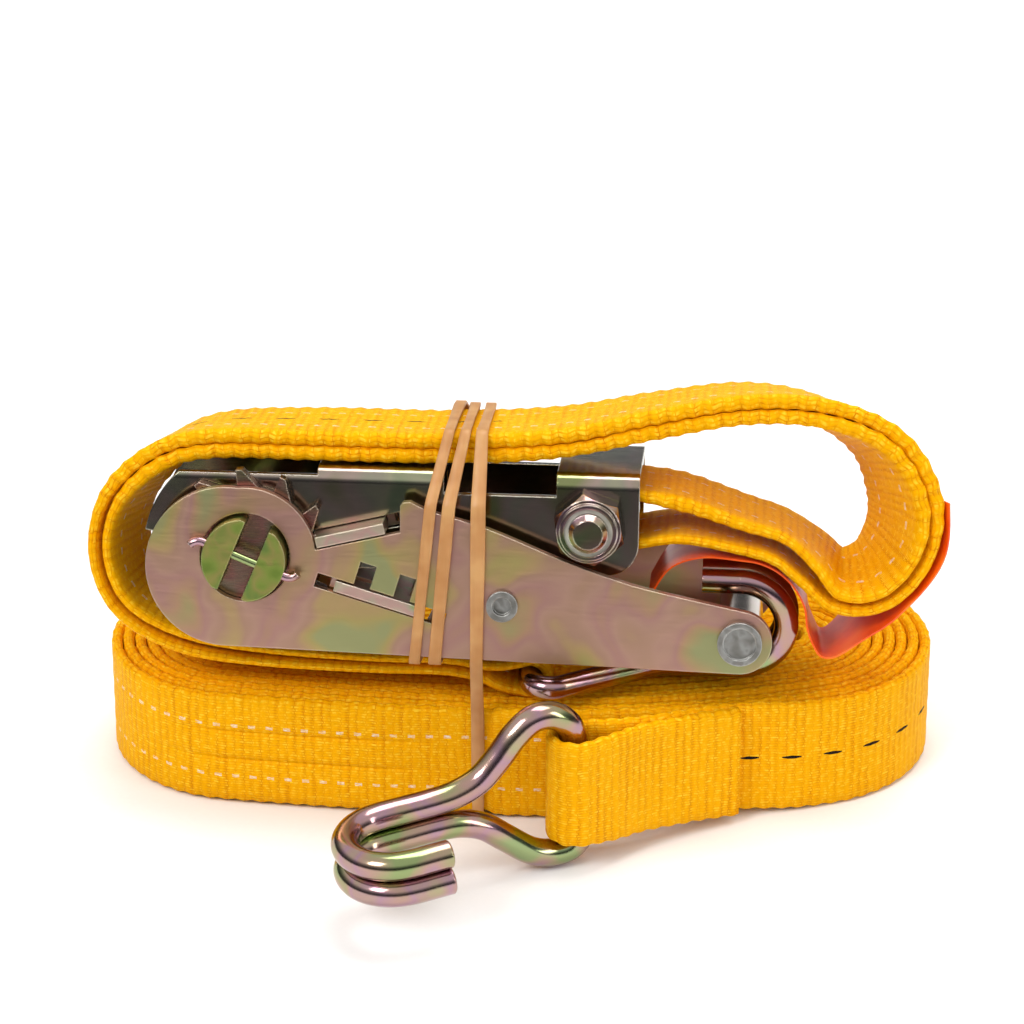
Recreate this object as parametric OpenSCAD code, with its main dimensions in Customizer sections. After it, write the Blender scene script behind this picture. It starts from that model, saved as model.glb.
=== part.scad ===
// Ratchet tie down for 25 mm webbing, packed as a bundle. Millimetres, +Z up, table at z = 0.

/* [Webbing] */
// Width of the webbing
web_w = 25; // [20:0.5:30]
// Thickness of one ply
web_t = 2; // [1.4:0.1:2.1]
// Spacing of the turns in the roll
turn_pitch = 2.5; // [2.45:0.05:2.8]
// Turns in the roll
turns = 11; // [7:1:11]
// Half length of the straight part of the roll
roll_half = 57.5; // [40:0.5:70]
// Centre line radius of the last turn
roll_r = 30.25; // [28:0.25:34]

/* [Ratchet place] */
// Spool axis left of the middle
spool_x = -53.5; // [-62:0.1:-48]
// Spool axis toward the viewer from the middle of the roll
spool_y = -7; // [-12:0.5:0]
// Spool axis above the table
spool_z = 53.7; // [52:0.1:60]
// Lean of the ratchet away from the viewer
tilt = 12; // [8:0.5:13]

/* [Ratchet] */
// Inside width of the frame channel
frame_in = 27; // [26.6:0.2:30]
// Sheet thickness of frame and handle
sheet_t = 2; // [1.5:0.1:2.2]
// Thickness of a ratchet wheel
wheel_t = 3; // [2:0.1:4]
// Teeth of a ratchet wheel
teeth = 12; // [10:1:14]
// Tip radius of the wheels
tip_r = 17.6; // [17:0.1:17.8]
// Root radius of the wheels
root_r = 13.8; // [13.4:0.1:14.2]
// Radius of the spool
spool_r = 8.5; // [7.5:0.1:8.6]
// Slot in the spool
spool_gap = 5.2; // [4:0.1:6.5]
// Lean of the spool slot at rest
spool_lean = 22; // [0:1:45]
// Length of the handle from spool to grip
handle_l = 100.3; // [96:0.5:104]
// Radius of the grip tube
grip_r = 4.5; // [4:0.1:4.8]
// Direction of the drive pawl
drive_a = -16.3; // [-17:0.1:-15]
// Thickness of the pawls
pawl_t = 2.2; // [1.8:0.1:2.4]
// Travel of the lock pawl when the ratchet is fully open
lock_lift = 7.2; // [6:0.1:7.4]
// Right end of the frame
frame_l = 79.3; // [78:0.1:84]

/* [Hooks] */
// Wire diameter
wire_d = 5; // [4:0.1:5.4]
// Half width between wire centres
hook_half = 15.3; // [15.2:0.1:17]
// Crossbar to the middle of the bend
hook_l = 42.5; // [38:0.5:46]
// Radius of the bend
hook_bend = 9.7; // [9.4:0.1:10.5]
// Length of the straight tip
hook_tip = 7.5; // [6:0.5:14]
// Turn of the front hook toward the viewer
front_turn = 26; // [10:1:40]
// Backward bend of the roll's right end
bow_right = 22; // [0:1:26]
// Backward bend of the roll's left end
bow_left = 6; // [0:1:14]
// Slope of the front hook down to the table
front_droop = 4; // [0:0.5:8]

/* [Band and tag] */
// Width of the rubber band
band_w = 3; // [2.4:0.1:3.2]
// Thickness of the rubber band
band_t = 0.8; // [0.6:0.1:0.9]
// Width of the tag
tag_w = 22; // [18:0.5:25]
// Thickness of the tag
tag_t = 0.5; // [0.3:0.05:0.7]

/* [Output] */
// Sub-part to draw

/* [Hidden] */
$fn = 64;
wire_r = wire_d / 2;
half_in = frame_in / 2;
half_out = half_in + sheet_t;
wheel_in = half_out + 0.4;
wheel_out = wheel_in + wheel_t;
plate_in = wheel_out + 0.4;
plate_out = plate_in + sheet_t;
ear_out = plate_out + 0.3;
spool_end = plate_out + 3.2;
clip_v = plate_out + 1.6;
tooth = 360 / teeth;
lock_a = drive_a + tooth;
web_top = 17.7;
arm_low = -3;
bolt = [frame_l - 9.9, 7.6 + max(79.3 - frame_l, 0) * 0.4];
spacer = [52.2, -8.5];
grip = [handle_l, -14.7];
grip_boss = 6.5;
drive_rest = tip_r + 0.3;
drive_in = 3.6;
drive_rear = 34;
drive_seat = 47.4;
lock_nose = root_r + 0.35;
lock_rear = 24;
lock_seat = 37.7;
eye_bolt = 5.5 + 0.35 + web_t / 2;
eye_hook = wire_r + 0.35 + web_t / 2;
rear_bar_z = web_w + 0.25 + eye_hook + web_t / 2;
rear_bar_x = spool_x + handle_l - hook_l - 0.3;
rear_bar_y = spool_y - 4.9;
front_bar = [14.7, -roll_r - 14.5];
front_bar_z = hook_half + wire_r + 0.3;
front_axis = [-cos(front_turn), -sin(front_turn)];
front_side = [sin(front_turn), -cos(front_turn)];
reach_y = front_bar[1] + hook_l * front_axis[1] * cos(front_droop) + hook_bend * front_side[1]
  - hook_bend - wire_r;
function bow(p) =
  let (
    turn = p[0] > 0 ? bow_right : bow_left,
    side = p[0] > 0 ? 1 : -1,
    bend = roll_half / max(turn, 0.01) * 180 / PI,
    a = min(abs(p[0]) / roll_half, 1) * turn,
    rest = max(abs(p[0]) - roll_half, 0)
  )
  [
    side * (bend * sin(a) + rest * cos(a) - p[1] * sin(a)),
    bend * (1 - cos(a)) + rest * sin(a) + p[1] * cos(a)
  ];
roll_back = max([
  for (a = [0 : 5 : 90])
    let (r = roll_r + web_t / 2 - turn_pitch * (90 + a) / 360)
    bow([roll_half + r * cos(a), r * sin(a)])[1]
]);
mid_y = (reach_y + roll_back) / 2;
band_x = -6.3;
band_gap = 0.35;

// Curve through points, n steps to a span
function bend_at(a, b, c, d, t) =
  0.5 * (2 * b + (c - a) * t + (2 * a - 5 * b + 4 * c - d) * t * t + (3 * b - a - 3 * c + d) * t * t * t);
function curve(p, n) = [
  for (i = [0 : len(p) - 2])
    let (a = p[max(i - 1, 0)], d = p[min(i + 2, len(p) - 1)])
    for (k = [0 : (i == len(p) - 2 ? n : n - 1)])
      bend_at(a, p[i], p[i + 1], d, k / n)
];
function unit(v) = v / norm(v);
function heading(p, i) = unit(p[min(i + 1, len(p) - 1)] - p[max(i - 1, 0)]);
function flat(l) = [for (a = l) each a];
function lift(p) = [
  spool_x + p[0],
  spool_y + p[1] * cos(tilt) + p[2] * sin(tilt),
  spool_z - p[1] * sin(tilt) + p[2] * cos(tilt)
];

// A solid through rings of four corners
module ribbon(rings, closed) {
  n = len(rings);
  sides = [
    for (i = [0 : (closed ? n - 1 : n - 2)], j = [0 : 3])
      let (a = 4 * i, b = 4 * ((i + 1) % n), k = (j + 1) % 4)
      each [[a + j, b + k, a + k], [a + j, b + j, b + k]]
  ];
  e = 4 * (n - 1);
  caps = closed ? [] : [[0, 1, 2], [0, 2, 3], [e, e + 2, e + 1], [e, e + 3, e + 2]];
  polyhedron(points = flat(rings), faces = concat(sides, caps));
}

// A coil of round wire along +X
module coil(length, radius, wire, curls) {
  n = curls * 8;
  rings = [
    for (i = [0 : n])
      let (a = i * 45, c = [cos(a), sin(a)], x = wire + (length - 2 * wire) * i / n)
      [for (j = [0 : 5]) let (q = radius + wire * cos(j * 60)) [x + wire * sin(j * 60), q * c[0], q * c[1]]]
  ];
  sides = [
    for (i = [0 : n - 1], j = [0 : 5])
      let (a = 6 * i, b = 6 * (i + 1), k = (j + 1) % 6)
      each [[a + j, a + k, b + k], [a + j, b + k, b + j]]
  ];
  e = 6 * n;
  caps = [[0, 5, 4, 3, 2, 1], [e, e + 1, e + 2, e + 3, e + 4, e + 5]];
  polyhedron(points = flat(rings), faces = concat(sides, caps));
}

module seat() {
  translate([0, -mid_y, 0])
    translate([spool_x, spool_y, spool_z])
      rotate([-tilt, 0, 0])
        children();
}
module slab(v0, v1) {
  translate([0, v1, 0]) rotate([90, 0, 0]) linear_extrude(v1 - v0) children();
}
module rod(p, v0, v1, r) {
  translate([p[0], v1, p[1]]) rotate([90, 0, 0]) cylinder(h = v1 - v0, r = r);
}
module span(x0, x1, y0, y1, z0, z1) {
  translate([x0, y0, z0]) cube([x1 - x0, y1 - y0, z1 - z0]);
}
module both() {
  children();
  mirror([0, 1, 0]) children();
}

// Frame: one bent channel with a nose, two bridges and a seat for the lock spring
module frame_side() {
  nose_r = 21.5;
  corner = 6.5;
  difference() {
    union() {
      circle(r = root_r - 0.3);
      polygon([
        [0, arm_low], [frame_l - corner, arm_low], [frame_l, arm_low + corner], [frame_l, web_top],
        [0, web_top]
      ]);
      translate([frame_l - corner, arm_low + corner]) circle(r = corner);
      intersection() {
        circle(r = nose_r);
        polygon([[0, 0], [0, web_top], [-30, web_top], [-30, 30 * tan(10)]]);
      }
    }
    circle(r = spool_r + 0.3);
    translate(bolt) circle(r = 4.1);
    rotate(lock_a) translate([root_r + 0.1, -pawl_t / 2 - 0.3])
      square([23 + lock_lift - 7.2, pawl_t + 0.6]);
  }
}
module channel_section() {
  difference() {
    union() {
      translate([-half_out, -15]) square([2 * half_out, 15 + web_top - 3]);
      translate([-half_out + 3, -15]) square([2 * half_out - 6, 15 + web_top]);
      for (s = [-1, 1]) translate([s * (half_out - 3), web_top - 3]) circle(r = 3);
    }
    translate([-half_in, -16]) square([frame_in, 16 + web_top - sheet_t - 1]);
    translate([-half_in + 1, -16]) square([frame_in - 2, 16 + web_top - sheet_t]);
    for (s = [-1, 1]) translate([s * (half_in - 1), web_top - sheet_t - 1]) circle(r = 1);
  }
}
module frame_channel() {
  bridge = [14, 39.7, 62.5];
  color("#9c9a6e") seat() {
    difference() {
      intersection() {
        slab(-half_out, half_out) frame_side();
        translate([-40, 0, 0]) rotate([90, 0, 90]) linear_extrude(140) channel_section();
      }
      span(bridge[1], bridge[2], -30, 30, 13, 30);
      span(-40, bridge[0], -half_in, half_in, -30, 30);
      span(-40, bridge[0], -30, 30, 16, 30);
    }
    span(bridge[1] - sheet_t, bridge[1], -6, 6, 3, web_top - sheet_t + 0.5);
  }
}

// Handle: two stamped plates with a cam head
module handle_side() {
  hump = curve([
    [33.4, 12.5], [38, 10.5], [49, 7.4], [63, 1.8], [71, -1.1], [81, -4.1], [handle_l + 0.6, -8.22]
  ], 4);
  ear_low = -pawl_t / 2 - 0.4;
  wall = 31.4;
  floor_w = function(u) u * tan(lock_a) + ear_low / cos(lock_a);
  difference() {
    union() {
      circle(r = 14.4);
      translate([-3.8, -2.1]) circle(r = 16.55);
      translate(grip) circle(r = grip_boss);
      polygon(concat(
        [[0, 0], [-3.8, -18.64], [grip[0] - 0.15, grip[1] - grip_boss]],
        [for (i = [len(hump) - 1 : -1 : 0]) hump[i]],
        [[wall + 0.5, 12.3], [wall, 11.6], [wall, floor_w(wall)], [13, floor_w(13)]]
      ));
    }
    circle(r = 9.2);
    translate(spacer) circle(r = 2.75);
    translate(grip) circle(r = 3.3);
    rotate(drive_a) {
      translate([15, -1.5]) square([27.3, 3]);
      for (r = [22.6, 31]) translate([r, 1]) square([3.4, 5.4]);
    }
  }
}
module handle_plate_front() {
  color("#b09a98") seat() slab(-plate_out, -plate_in) handle_side();
}
module handle_plate_rear() {
  color("#b09a98") seat() slab(plate_in, plate_out) handle_side();
}

// Spool: two half-round bars, two wheels and two wire clips
module half_moon(side, grow) {
  flat_half = spool_r - 0.9;
  rotate(-spool_lean) intersection() {
    circle(r = spool_r + grow);
    translate([side > 0 ? spool_gap / 2 - grow : -spool_gap / 2 + grow - 20, -flat_half - grow])
      square([20, 2 * flat_half + 2 * grow]);
  }
}
module spool_half(side) {
  difference() {
    slab(-spool_end, spool_end) half_moon(side, 0);
    for (s = [-1, 1]) translate([0, s * clip_v, 0]) rotate([0, 90 + spool_lean, 0])
      cylinder(h = 40, r = 1.05, center = true);
  }
}
module spool_half_left() {
  color("#a8a878") seat() spool_half(-1);
}
module spool_half_right() {
  color("#a8a878") seat() spool_half(1);
}
module wheel_side() {
  start = lock_a - 6.4;
  flank = (root_r + tip_r) / 2 - 0.2;
  profile = [[tip_r, -4], [tip_r, 0], [root_r, 0.3], [root_r, 5.5], [root_r, 11], [flank, 19]];
  difference() {
    polygon(flat([
      for (k = [0 : teeth - 1])
        let (a = start + k * tooth)
        [for (q = profile) q[0] * [cos(a + q[1] * tooth / 30), sin(a + q[1] * tooth / 30)]]
    ]));
    half_moon(-1, 0.06);
    half_moon(1, 0.06);
  }
}
module ratchet_wheel_front() {
  color("#a5876a") seat() slab(-wheel_out, -wheel_in) wheel_side();
}
module ratchet_wheel_rear() {
  color("#a5876a") seat() slab(wheel_in, wheel_out) wheel_side();
}
module clip() {
  r = 0.9;
  reach = 8.9;
  rotate([0, spool_lean, 0]) {
    rotate([0, 90, 0]) cylinder(h = 2 * reach, r = r, center = true);
    for (s = [0, 180]) rotate([0, s, 0]) {
      translate([reach, 0, 2.4]) rotate([90, 0, 0]) rotate([0, 0, -90])
        rotate_extrude(angle = 70) translate([2.4, 0]) circle(r = r);
    }
  }
}
module spool_clip_front() {
  color("#c9c2a8") seat() translate([0, -clip_v, 0]) clip();
}
module spool_clip_rear() {
  color("#c9c2a8") seat() translate([0, clip_v, 0]) clip();
}

// Pawls: flat plates that slide in slots, with their springs
module pawl_plate(r0, r1, v0, v1) {
  span(r0, r1, v0, v1, -pawl_t / 2, pawl_t / 2);
}
module drive_pawl() {
  color("#a89090") seat() rotate([0, -drive_a, 0]) {
    difference() {
      pawl_plate(drive_rest, drive_rear, -wheel_out, wheel_out);
      both() pawl_plate(0, drive_rest + drive_in + 4.6, half_in - 0.3, half_out + 0.3);
    }
    both() {
      pawl_plate(drive_rest + 1.1, 37, wheel_out - 0.5, ear_out);
      pawl_plate(drive_rear - 1, 37, half_out + 0.4, wheel_out);
      span(drive_rear - 2, drive_rear, 6, half_in - 0.6, -7, 0);
    }
    pawl_plate(drive_rear - 1, drive_rear + 4, -2, 2);
  }
}
module drive_spring() {
  color("#b8b8b0") seat() rotate([0, -drive_a, 0])
    translate([drive_rear + 0.3, 0, 0]) coil(drive_seat - drive_rear - 0.6, 3.3, 0.45, 6);
}
module lock_pawl() {
  color("#a89090") seat() rotate([0, -lock_a, 0]) {
    pawl_plate(lock_nose, lock_rear, -wheel_out, wheel_out);
    both() {
      pawl_plate(14.8, 29, wheel_out - 0.5, ear_out);
      pawl_plate(lock_rear - 1, 29, half_out - 1.5, wheel_out);
    }
    pawl_plate(lock_rear - 1, lock_rear + 4, -2, 2);
  }
}
module lock_spring() {
  color("#b8b8b0") seat() rotate([0, -lock_a, 0])
    translate([lock_rear + 0.3, 0, 0]) coil(lock_seat / cos(lock_a) - lock_rear - 1.6, 3.3, 0.45, 6);
}
module spring_bridge() {
  color("#b0aa90") seat() {
    difference() {
      union() {
        rod(spacer, -6, 6, 4.8);
        rotate([0, -drive_a, 0]) span(drive_seat, drive_seat + sheet_t, -6, 6, -4.5, 6.5);
      }
      rod(spacer, -7, 7, 4.06);
    }
  }
}

// Rivets, grip and anchor bolt
module spacer_sleeve() {
  color("#b8b4a0") seat() difference() {
    rod(spacer, -plate_in + 0.06, plate_in - 0.06, 4);
    rod(spacer, -plate_in - 1, plate_in + 1, 2.8);
  }
}
module spacer_rivet() {
  color("#c8c8c4") seat() difference() {
    union() {
      rod(spacer, -plate_out - 0.06, plate_out + 0.06, 2.7);
      both() rod(spacer, plate_out + 0.06, plate_out + 0.8, 3.2);
    }
    both() rod(spacer, plate_out - 0.4, plate_out + 2, 1.9);
  }
}
module grip_tube() {
  color("#b0a890") seat() difference() {
    rod(grip, -plate_in + 0.06, plate_in - 0.06, grip_r);
    rod(grip, -plate_in - 1, plate_in + 1, 3.35);
  }
}
module grip_rivet() {
  color("#c8c8c4") seat() difference() {
    union() {
      rod(grip, -plate_out - 0.06, plate_out + 0.06, 3.2);
      both() rod(grip, plate_out + 0.06, plate_out + 1.2, 4.5);
    }
    both() rod(grip, plate_out + 0.5, plate_out + 2, 3.3);
  }
}
module hex(v0, v1, flats) {
  slab(v0, v1) translate(bolt) rotate(-20) circle(r = flats / sqrt(3), $fn = 6);
}
module anchor_bolt() {
  color("#b9b79a") seat() {
    rod(bolt, -half_out - 8.2, half_out + 0.5, 4);
    translate([bolt[0], -half_out - 8.1, bolt[1]]) rotate([90, 0, 0]) cylinder(h = 1.3, r1 = 3.98, r2 = 3);
    intersection() {
      hex(half_out + 0.06, half_out + 5.3, 13);
      translate([bolt[0], half_out, bolt[1]]) rotate([-90, 0, 0]) cylinder(h = 5.3, r1 = 10.3, r2 = 6.6);
    }
  }
}
module anchor_nut() {
  color("#b9b79a") seat() difference() {
    union() {
      intersection() {
        hex(-half_out - 6.4, -half_out - 0.06, 13);
        translate([bolt[0], -half_out, bolt[1]]) rotate([90, 0, 0])
          cylinder(h = 6.4, r1 = 10.9, r2 = 6.5);
      }
      rod(bolt, -half_out - 7.6, -half_out - 6, 5.8);
    }
    rod(bolt, -half_out - 10, -half_out + 1, 4.04);
    rod(bolt, -half_out - 7.2, -half_out - 5.4, 5.1);
    rod(bolt, -half_out - 9, -half_out - 7, 4.9);
  }
}
module nut_insert() {
  color("#e6e6e0") seat() difference() {
    rod(bolt, -half_out - 7.16, -half_out - 5.44, 5.06);
    rod(bolt, -half_out - 9, -half_out, 4.03);
  }
}
module anchor_sleeve() {
  color("#b8b4a0") seat() difference() {
    rod(bolt, -half_in + 0.06, half_in - 0.06, 5.5);
    rod(bolt, -half_in - 1, half_in + 1, 4.1);
  }
}

// Hooks: one bent wire, origin at the middle of the crossbar, bend along +X curling to +Z
module arc_at(centre, ax, ay, az, radius, sweep) {
  multmatrix([
    [ax[0], ay[0], az[0], centre[0]],
    [ax[1], ay[1], az[1], centre[1]],
    [ax[2], ay[2], az[2], centre[2]]
  ]) rotate_extrude(angle = sweep) translate([radius, 0]) circle(r = wire_r);
}
module bar(a, b) {
  d = b - a;
  yaw = atan2(d[1], d[0]);
  dip = acos(d[2] / norm(d));
  // straight runs are a hair thinner and reach into the bends, so that the wire joins as one
  translate(a - unit(d) * 0.3) rotate([0, dip, yaw]) cylinder(h = norm(d) + 0.6, r = wire_r - 0.02);
}
module hook_wire() {
  lean = 31;
  corner = 4.3;
  knee = 8;
  side = wire_r + 0.25;
  c = [corner, hook_half - corner];
  a = c + corner * [sin(lean), cos(lean)];
  // the knee turns the leg parallel to the axis at y = side
  ky = side + knee * (1 - cos(lean));
  kx = a[0] + (a[1] - ky) / tan(lean);
  ex = kx + knee * sin(lean);
  bar([0, -c[1], 0], [0, c[1], 0]);
  both() {
    arc_at([c[0], c[1], 0], [sin(lean), cos(lean), 0], [-cos(lean), sin(lean), 0], [0, 0, 1],
      corner, 90 + lean);
    bar([a[0], a[1], 0], [kx, ky, 0]);
    arc_at([ex, side + knee, 0], [-sin(lean), -cos(lean), 0], [cos(lean), -sin(lean), 0], [0, 0, 1],
      knee, lean);
    bar([ex, side, 0], [hook_l, side, 0]);
    arc_at([hook_l, side, hook_bend], [0, 0, -1], [1, 0, 0], [0, -1, 0], hook_bend, 180);
    bar([hook_l, side, 2 * hook_bend], [hook_l - hook_tip, side, 2 * hook_bend]);
  }
}
module short_strap_hook() {
  color("#b9a49c") translate([rear_bar_x, rear_bar_y - mid_y, rear_bar_z]) hook_wire();
}
module long_strap_hook() {
  color("#b9a49c") translate([front_bar[0], front_bar[1] - mid_y, front_bar_z])
    rotate([0, 0, 180 + front_turn]) rotate([0, front_droop, 0]) rotate([-90, 0, 0]) hook_wire();
}

// Short strap: two plies from the anchor sleeve round the closed ratchet to its hook
// Each stop: along, up, half spacing of the plies, half width, twist
rear_bar_u = rear_bar_x - spool_x;
rear_bar_w = (rear_bar_z - spool_z) / cos(tilt) + 0.1;
ply = web_t / 2 + 0.2;
full = web_w / 2;
short_line = curve([
  [bolt[0], bolt[1], eye_bolt, full, 0], [bolt[0] + 8.6, 7.8, eye_bolt - 1.6, full, 0],
  [bolt[0] + 18.6, 7.6, 3.6, full, 0], [handle_l - 0.3, 4.8, 2.6, full, 0],
  [handle_l + 7.7, 2.4, 2.5, full, 0],
  [handle_l + 14.2, -2, 2.2, full, 4], [handle_l + 20, -6.4, 1.9, full, 9],
  [handle_l + 27.4, -4.4, 1.8, full, 17], [handle_l + 32.2, 3.4, 1.8, full, 24],
  [handle_l + 32.4, 12.8, 1.8, full, 25], [handle_l + 27, 22.6, 1.8, full, 20],
  [handle_l + 15.2, 28.8, 1.8, full, 11], [handle_l - 0.3, 30.2, 1.8, full, 5],
  [handle_l - 19.3, 27, 1.8, full, 2], [63, 23.2, 1.7, full, 0], [40, 21.8, 1.7, full, 0],
  [12, 21.7, 1.7, full, 0], [-8, 21, 1.7, full, 3], [-19.5, 17, 1.8, full, 8],
  [-27.2, 7.8, 1.9, full, 11], [-29, -3, 1.9, full, 11], [-25.2, -13.4, 1.8, full, 7],
  [-14, -20.4, 1.6, full, 2], [2, -23.1, ply + 0.2, full, 0], [24, -24, ply, full, 0],
  [rear_bar_u - 17.5, -24, ply, full, 0], [rear_bar_u - 10, rear_bar_w + 0.2, ply + 0.3, full, 7],
  [rear_bar_u - 5.5, rear_bar_w + 0.1, 2.5, full - 0.2, tilt],
  [rear_bar_u, rear_bar_w, eye_hook + 0.1, full - 0.7, tilt]
], 4);
function short_ring(p, i, side) =
  let (
    q = p[i],
    d = heading([for (k = p) [k[0], k[1]]], i),
    n = [-d[1], d[0]],
    turn = q[4],
    across = [n[0] * sin(turn), cos(turn), n[1] * sin(turn)],
    out = [n[0] * cos(turn), -sin(turn), n[1] * cos(turn)],
    c = [q[0], 0, q[1]] + out * side * q[2]
  )
  [for (k = [[-1, -1], [1, -1], [1, 1], [-1, 1]]) lift(c + across * k[0] * q[3] + out * k[1] * web_t / 2)];
function eye_ring(p, i, side, a) =
  let (
    q = p[i],
    d = heading([for (k = p) [k[0], k[1]]], i) * side,
    e = [d[0] * cos(a) - d[1] * sin(a), d[0] * sin(a) + d[1] * cos(a)],
    turn = q[4],
    across = [0, cos(turn), sin(turn)],
    out = [e[0], -e[1] * sin(turn), e[1] * cos(turn)],
    c = [q[0], 0, q[1]] + out * q[2]
  )
  [for (k = [[-1, -1], [1, -1], [1, 1], [-1, 1]]) lift(c + across * k[0] * q[3] + out * k[1] * web_t / 2)];
short_n = len(short_line) - 1;
function turned(r) = [r[3], r[2], r[1], r[0]];
short_rings = concat(
  [for (i = [0 : short_n]) short_ring(short_line, i, 1)],
  [for (a = [70 : -20 : -70]) eye_ring(short_line, short_n, 1, a)],
  [for (i = [short_n : -1 : 0]) turned(short_ring(short_line, i, -1))],
  [for (a = [70 : -20 : -70]) eye_ring(short_line, 0, -1, a)]
);
module short_strap() {
  color("#f2b000") translate([0, -mid_y, 0]) ribbon(short_rings, true);
}

// Long strap: a flat roll on edge whose outer end carries the front hook
// Each stop: x, y, bottom, top
arcs = 2 * turns;
press = 1.25;
function arc_r(k, t) = roll_r - turn_pitch * (arcs - k - t) / 2;
function roll_arc(k) =
  let (right = (arcs - 1 - k) % 2 == 0)
  [
    for (i = [0 : 10])
      let (t = i / 10, r = arc_r(k, t), a = (right ? 90 : 270) - 180 * t)
      [(right ? roll_half : -roll_half) + r * cos(a), r * sin(a), 0, web_w]
  ];
function roll_run(k) =
  let (
    right = (arcs - 1 - k) % 2 == 0,
    r = arc_r(k, 1),
    s = right ? -1 : 1,
    far = band_w / 2 + 2,
    near = band_w / 2 + 0.6
  )
  concat(
    [for (f = [0.8, 0.6, 0.4, 0.2]) [-s * f * roll_half, s * r, 0, web_w]],
    [for (q = [[-far, 0], [-near, press], [near, press], [far, 0]]) [band_x + s * q[0], s * r, q[1], web_w]],
    [for (f = [0.28, 0.45, 0.62, 0.8]) [s * f * roll_half, s * r, 0, web_w]]
  );
function bowed(q) =
  let (p = bow(q))
  [p[0], p[1], q[2], q[3]];
function tail_start(x, off) = bow([x * roll_half, -roll_r - off]);
tail_line = curve([
  [each tail_start(1, 0), 0, 0, full], [each tail_start(0.86, 0.3), 0.5, 0, full],
  [each tail_start(0.68, 1.4), 1.6, ply + 0.1, full],
  [front_bar[0] + 22, front_bar[1] + 13.4, 2.8, ply + 0.1, full],
  [front_bar[0] + 12.8, front_bar[1] + 7.4, 4, ply + 0.3, full],
  [front_bar[0] + 6.3, front_bar[1] + 3.1, 4.9, 3.2, full - 0.2],
  [front_bar[0], front_bar[1], front_bar_z - full, eye_hook + 1, full - 0.7]
], 4);
function tail_stop(i, side) =
  let (
    q = tail_line[i],
    d = heading([for (k = tail_line) [k[0], k[1]]], i),
    n = [d[1], -d[0]],
    c = [q[0], q[1]] + n * side * q[3],
    m = q[2] + full
  )
  [c[0], c[1], m - q[4], m + q[4]];
tail_n = len(tail_line) - 1;
tail_from = 8;
function tail_eye(a) =
  let (
    q = tail_line[tail_n],
    d = heading([for (k = tail_line) [k[0], k[1]]], tail_n),
    e = [d[0] * cos(a) - d[1] * sin(a), d[0] * sin(a) + d[1] * cos(a)]
  )
  [q[0] + e[0] * q[3], q[1] + e[1] * q[3], q[2] + full - q[4], q[2] + full + q[4]];
roll_line = concat(
  [
    for (q = flat([for (k = [0 : arcs - 1]) concat(roll_arc(k), k < arcs - 1 ? roll_run(k) : [])]))
      bowed(q)
  ],
  [for (i = [1 : tail_n]) tail_stop(i, 1)],
  [for (a = [-70 : 20 : 70]) tail_eye(a)],
  [for (i = [tail_n : -1 : tail_from]) tail_stop(i, -1)]
);
function roll_ring(i) =
  let (
    q = roll_line[i],
    near = [for (k = [max(i - 1, 0) : min(i + 1, len(roll_line) - 1)]) [roll_line[k][0], roll_line[k][1]]],
    d = heading(near, i == 0 ? 0 : 1),
    n = [-d[1], d[0]] * web_t / 2
  )
  [
    [q[0] - n[0], q[1] - n[1], q[2]], [q[0] + n[0], q[1] + n[1], q[2]],
    [q[0] + n[0], q[1] + n[1], q[3]], [q[0] - n[0], q[1] - n[1], q[3]]
  ];
module long_strap() {
  color("#f2b000") translate([0, -mid_y, 0]) ribbon([for (i = [0 : len(roll_line) - 1]) roll_ring(i)], false);
}

// Rubber band: one closed band in three turns, two round the ratchet and one round everything
band_off = band_gap + band_t / 2;
side_v = plate_out + band_off;
edge_v = full + band_off + 0.35;
strap_top = 22.1 + 1.7 + web_t / 2 + band_off;
low_w = -20 - band_off;
hump_w = 12.2;
roll_front = -(roll_r - turn_pitch + web_t / 2 + band_off);
roll_rear = roll_r - turn_pitch / 2 + web_t / 2 + band_off;
band_low = 0.1 + band_t / 2;
over = band_t + 0.5;
function on_ratchet(x, v, w) = let (p = lift([0, v, w])) [x, p[1], p[2]];
function front_run(x0, x1) = [
  on_ratchet(x0, full - 2, strap_top), on_ratchet(x0, -edge_v, strap_top),
  on_ratchet((x0 + x1) / 2, -side_v, hump_w), on_ratchet(x1, -side_v, low_w)
];
function rear_run(x0, x1, up) = [
  on_ratchet(x0, side_v + up, hump_w), on_ratchet(x1, edge_v + up, strap_top)
];
band_stops = concat(
  front_run(band_x - 6.6, band_x - 12.6), [on_ratchet(band_x - 11, side_v, low_w)],
  rear_run(band_x - 7, band_x - 3.4, 0),
  front_run(band_x - 3.3, band_x - 8.5), [on_ratchet(band_x - 6.6, side_v, low_w)],
  rear_run(band_x - 3, band_x - 0.1, 0),
  front_run(band_x, band_x),
  [
    [band_x, roll_front, web_w - 2], [band_x, roll_front, band_low],
    [band_x, roll_rear, band_low], [band_x, roll_rear, web_w + 1]
  ],
  rear_run(band_x - 1.5, band_x - 6.5, over)
);
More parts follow.
